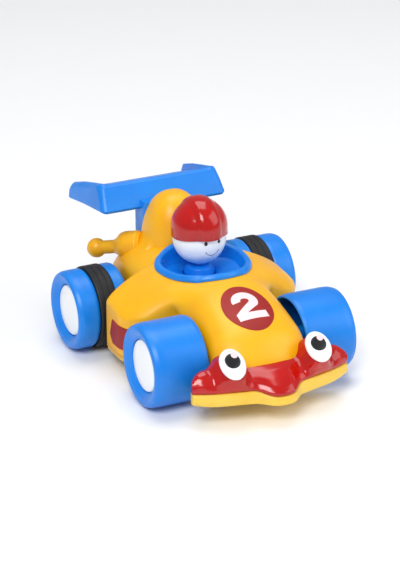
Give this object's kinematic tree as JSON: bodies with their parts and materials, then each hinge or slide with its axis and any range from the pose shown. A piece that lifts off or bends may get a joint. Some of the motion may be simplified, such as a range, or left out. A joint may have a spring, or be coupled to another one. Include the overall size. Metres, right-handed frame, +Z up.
{
  "type": "pull-back toy car",
  "caption": "Pull-back toy racing car with wide drum wheels, rear wing, bumper with cartoon eyes, geared spring motor and lift-out driver.",
  "frame": {"origin": "middle of the footprint, on the floor that the wheels stand on", "axes": "+Z up, the car faces -Y, +X is the car's left side"},
  "size_m": [0.1404, 0.2086, 0.0953],
  "materials": {
    "yellow_abs": "moulded ABS, satin gloss",
    "pale_yellow_abs": "moulded ABS, satin",
    "blue_abs": "moulded ABS, satin",
    "red_abs": "moulded ABS, high gloss",
    "white_abs": "moulded ABS, satin",
    "black_print": "pad-printed ink",
    "black_rubber": "matt traction rubber",
    "axle_steel": "drawn steel",
    "spring_steel": "blued spring strip",
    "natural_acetal": "moulded acetal"
  },
  "bodies": {
    "body": {"body_shell": "yellow_abs", "chassis_plate": "pale_yellow_abs", "bumper_cover": "red_abs", "cockpit_tub": "blue_abs", "rear_wing": "blue_abs", "number_disc": "red_abs", "idler_pin": "axle_steel", "spring_arbor": "axle_steel", "exhaust_left": "yellow_abs", "side_sticker_left": "red_abs", "eye_left": "white_abs", "pupil_left": "black_print", "motor_casing_left": "white_abs", "motor_screw_left": "axle_steel", "exhaust_right": "yellow_abs", "side_sticker_right": "red_abs", "eye_right": "white_abs", "pupil_right": "black_print", "motor_casing_right": "white_abs", "motor_screw_right": "axle_steel", "chassis_screw_1": "axle_steel", "chassis_screw_2": "axle_steel", "chassis_screw_3": "axle_steel", "chassis_screw_4": "axle_steel"},
    "front_wheels": {"front_axle": "axle_steel", "front_wheel_left": "blue_abs", "front_hub_cap_left": "white_abs", "front_wheel_right": "blue_abs", "front_hub_cap_right": "white_abs"},
    "rear_wheels": {"rear_axle": "axle_steel", "axle_pinion": "natural_acetal", "rear_wheel_left": "blue_abs", "rear_hub_cap_left": "white_abs", "rear_tyre_left": "black_rubber", "rear_wheel_right": "blue_abs", "rear_hub_cap_right": "white_abs", "rear_tyre_right": "black_rubber"},
    "idler": {"idler_gear": "natural_acetal"},
    "spring": {"spring_drum": "natural_acetal", "mainspring": "spring_steel"},
    "driver": {"driver_body": "blue_abs"},
    "head": {"driver_head": "white_abs", "driver_helmet": "red_abs"}
  },
  "joints": [
    {"name": "rear_axle_spin", "type": "hinge", "parent": "body", "child": "rear_wheels", "pos_m": [0, 0.04, 0.024], "axis": [1, 0, 0], "continuous": true},
    {"name": "front_axle_spin", "type": "hinge", "parent": "body", "child": "front_wheels", "pos_m": [0, -0.0473, 0.024], "axis": [1, 0, 0], "continuous": true},
    {"name": "idler_spin", "type": "hinge", "parent": "body", "child": "idler", "pos_m": [0, 0.02948, 0.03008], "axis": [1, 0, 0], "continuous": true},
    {"name": "spring_drum_spin", "type": "hinge", "parent": "body", "child": "spring", "pos_m": [0, 0.01269, 0.0243], "axis": [1, 0, 0], "continuous": true},
    {"name": "driver_lift", "type": "slide", "parent": "body", "child": "driver", "axis": [0, 0, 1], "range_m": [0, 0.03]},
    {"name": "head_turn", "type": "hinge", "parent": "driver", "child": "head", "pos_m": [0, 0.0059, 0.0706], "axis": [0, 0, 1], "range_deg": [-75, 75]}
  ],
  "couplings": [
    {"joint": "idler_spin", "follows": "rear_axle_spin", "ratio": -0.5},
    {"joint": "spring_drum_spin", "follows": "rear_axle_spin", "ratio": 0.41667}
  ]
}
